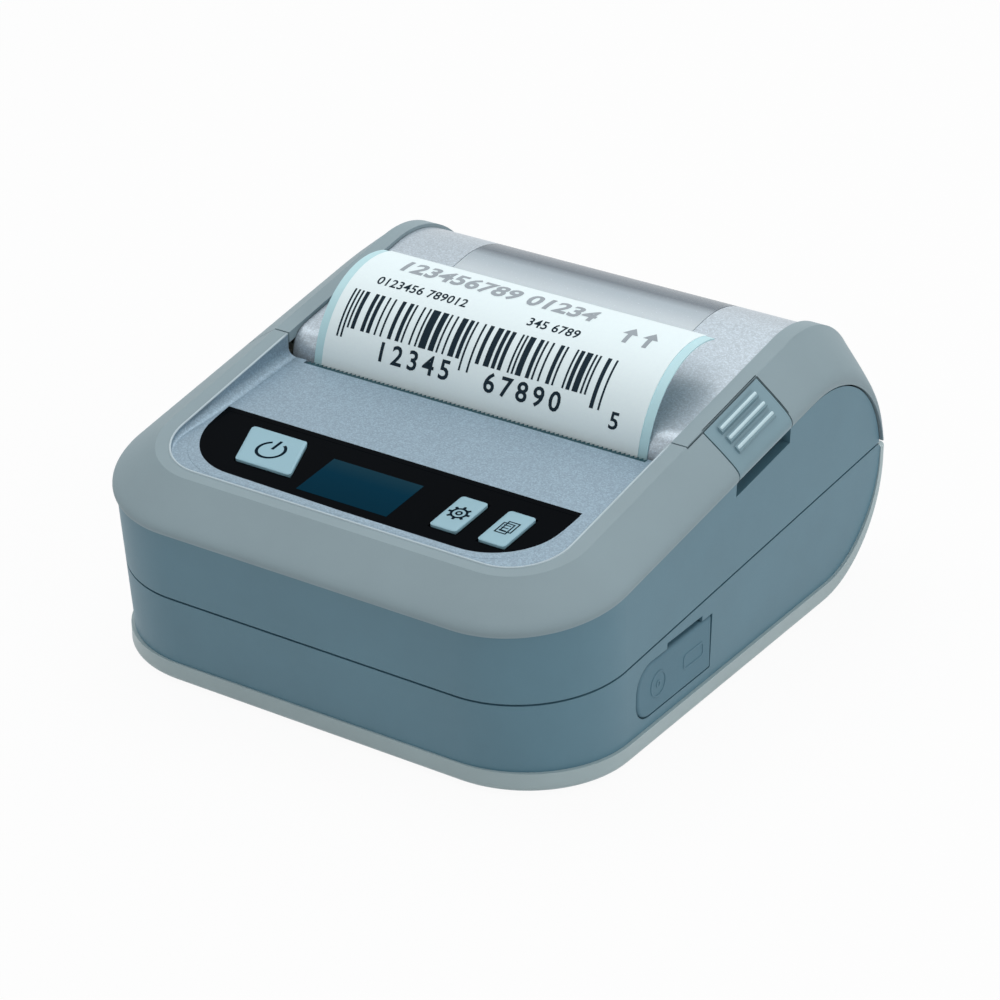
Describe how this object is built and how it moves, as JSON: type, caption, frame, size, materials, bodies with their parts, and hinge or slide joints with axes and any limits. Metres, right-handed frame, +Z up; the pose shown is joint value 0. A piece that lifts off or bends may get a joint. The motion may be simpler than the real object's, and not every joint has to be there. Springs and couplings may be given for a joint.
{
  "type": "portable label printer",
  "caption": "Palm-sized thermal label printer: wedge case, hinged lid over a drop-in roll, geared platen, side latch, panel keys and a rubber port flap.",
  "frame": {"origin": "centre of the footprint, on the plane of the feet", "axes": "+Z up, +X to the user's right (latch and port side), -Y to the user (control panel), +Y to the lid's hinge"},
  "size_m": [0.116, 0.1279, 0.0643],
  "materials": {
    "pale_tray": "satin moulded rim",
    "blue_case": "fine satin grain",
    "grey_trim": "soft matt over-mould",
    "silver_panel": "metallic flake paint",
    "black_window": "polished black",
    "display": "dark teal screen",
    "keys": "pale blue-grey satin",
    "latch": "satin with polished ribs",
    "smoke": "smoky translucent",
    "flap": "matt rubber",
    "steel": "bare steel",
    "motor_can": "plated can",
    "head": "glazed ceramic",
    "sink": "plain",
    "inner_black": "black moulding",
    "nylon": "natural nylon",
    "platen_rubber": "ground rubber",
    "board": "solder mask",
    "components": "moulded packages",
    "port_metal": "plated shell",
    "battery": "wrapped pack",
    "feet": "matt rubber",
    "paper": "coated paper",
    "liner": "pale release paper",
    "core": "raw card"
  },
  "bodies": {
    "base": {"base_tray": "pale_tray", "lower_case": "blue_case", "upper_case": "blue_case", "front_trim": "grey_trim", "front_panel": "silver_panel", "control_window": "black_window", "display_module": "display", "tear_bar": "steel", "inner_frame": "inner_black", "mech_frame": "steel", "print_head": "head", "heat_sink": "sink", "motor": "motor_can", "idler_stud": "steel", "main_board": "board", "board_parts": "components", "key_board": "board", "key_switches": "components", "battery_pack": "battery", "port_board": "board", "dc_jack": "components", "usb_port": "port_metal", "latch_bracket": "inner_black", "hinge_pins": "steel", "feet": "feet"},
    "lid": {"lid_trim": "grey_trim", "lid_panel": "silver_panel", "lid_window": "smoke", "platen_carrier": "inner_black", "platen_bushings": "nylon", "liner": "liner", "label": "paper"},
    "platen": {"platen_roller": "platen_rubber", "platen_shaft": "steel", "platen_gear": "nylon"},
    "idler": {"reduction_gear": "nylon"},
    "rotor": {"motor_pinion": "nylon", "motor_shaft": "steel"},
    "roll": {"label_roll": "paper", "roll_core": "core"},
    "latch": {"release_latch": "latch"},
    "power_key": {"power_button": "keys"},
    "settings_key": {"settings_button": "keys"},
    "feed_key": {"feed_button": "keys"},
    "port_flap": {"port_cover": "flap"}
  },
  "joints": [
    {"name": "lid_hinge", "type": "hinge", "parent": "base", "child": "lid", "pos_m": [0, 0.0615, 0.0293], "axis": [-1, 0, 0], "range_deg": [0, 100]},
    {"name": "roll_spin", "type": "hinge", "parent": "base", "child": "roll", "pos_m": [0, 0.03129, 0.0286], "axis": [1, 0, 0], "continuous": true},
    {"name": "platen_spin", "type": "hinge", "parent": "lid", "child": "platen", "pos_m": [0, -0.00062, 0.04089], "axis": [1, 0, 0], "continuous": true},
    {"name": "idler_spin", "type": "hinge", "parent": "base", "child": "idler", "pos_m": [0, -0.00466, 0.03087], "axis": [1, 0, 0], "continuous": true},
    {"name": "motor_spin", "type": "hinge", "parent": "base", "child": "rotor", "pos_m": [0, -0.01906, 0.03087], "axis": [1, 0, 0], "continuous": true},
    {"name": "latch_slide", "type": "slide", "parent": "base", "child": "latch", "axis": [0.5, 0, -0.866], "range_m": [0, 0.002], "stiffness_N_per_m": 500, "springref_m": -0.001},
    {"name": "power_press", "type": "slide", "parent": "base", "child": "power_key", "axis": [0, 0.0946, -0.9955], "range_m": [0, 0.0008], "stiffness_N_per_m": 600, "springref_m": -0.0004},
    {"name": "settings_press", "type": "slide", "parent": "base", "child": "settings_key", "axis": [0, 0.0946, -0.9955], "range_m": [0, 0.0008], "stiffness_N_per_m": 600, "springref_m": -0.0004},
    {"name": "feed_press", "type": "slide", "parent": "base", "child": "feed_key", "axis": [0, 0.0946, -0.9955], "range_m": [0, 0.0008], "stiffness_N_per_m": 600, "springref_m": -0.0004},
    {"name": "port_flap_hinge", "type": "hinge", "parent": "base", "child": "port_flap", "pos_m": [0.0559, -0.00871, 0.0131], "axis": [0, 0, 1], "range_deg": [0, 100], "stiffness_Nm_per_rad": 0.002, "springref_deg": -8.59}
  ],
  "couplings": [
    {"joint": "platen_spin", "follows": "roll_spin", "ratio": 4.8},
    {"joint": "idler_spin", "follows": "roll_spin", "ratio": -7.5429},
    {"joint": "motor_spin", "follows": "roll_spin", "ratio": 22.629}
  ]
}
